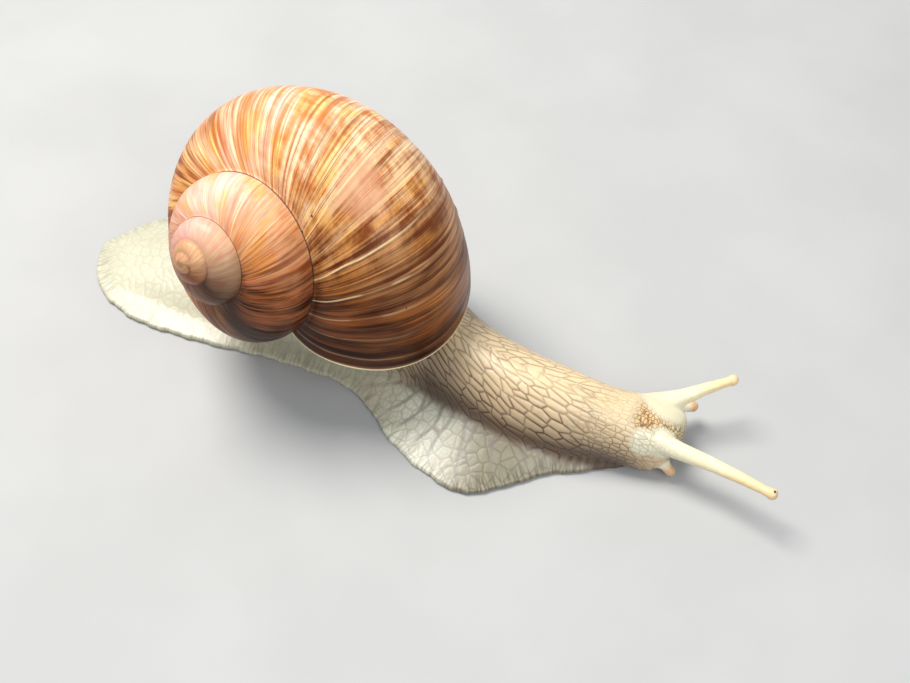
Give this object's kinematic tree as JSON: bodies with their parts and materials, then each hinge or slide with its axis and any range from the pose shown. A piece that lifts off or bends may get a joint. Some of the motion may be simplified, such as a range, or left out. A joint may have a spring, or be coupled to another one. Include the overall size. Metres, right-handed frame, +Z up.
{
  "type": "roman snail model",
  "caption": "Still, life-size model of a crawling land snail: coiled brown shell, cream foot with a spread skirt, netted neck and extended feelers.",
  "frame": {"origin": "on the flat sole, under the middle of the foot's length", "axes": "+X from the tail towards the head, +Y to the animal's left, +Z up"},
  "size_m": [0.1039, 0.033, 0.0385],
  "materials": {
    "shell": "wet, glossy brown shell with growth lines",
    "foot_skin": "moist ivory to tan skin, netted with furrows",
    "mantle": "moist cream, smooth",
    "eye": "glossy black"
  },
  "bodies": {
    "root": {"shell": "shell", "mantle_collar": "mantle", "tail": "foot_skin", "foot_middle": "foot_skin", "foot_front": "foot_skin", "back": "foot_skin", "neck_rear": "foot_skin", "neck_front": "foot_skin", "head": "foot_skin", "mouth": "foot_skin", "upper_tentacle_left": "foot_skin", "upper_tentacle_right": "foot_skin", "lower_tentacle_left": "foot_skin", "lower_tentacle_right": "foot_skin", "eye_left": "eye", "eye_right": "eye"}
  },
  "joints": []
}
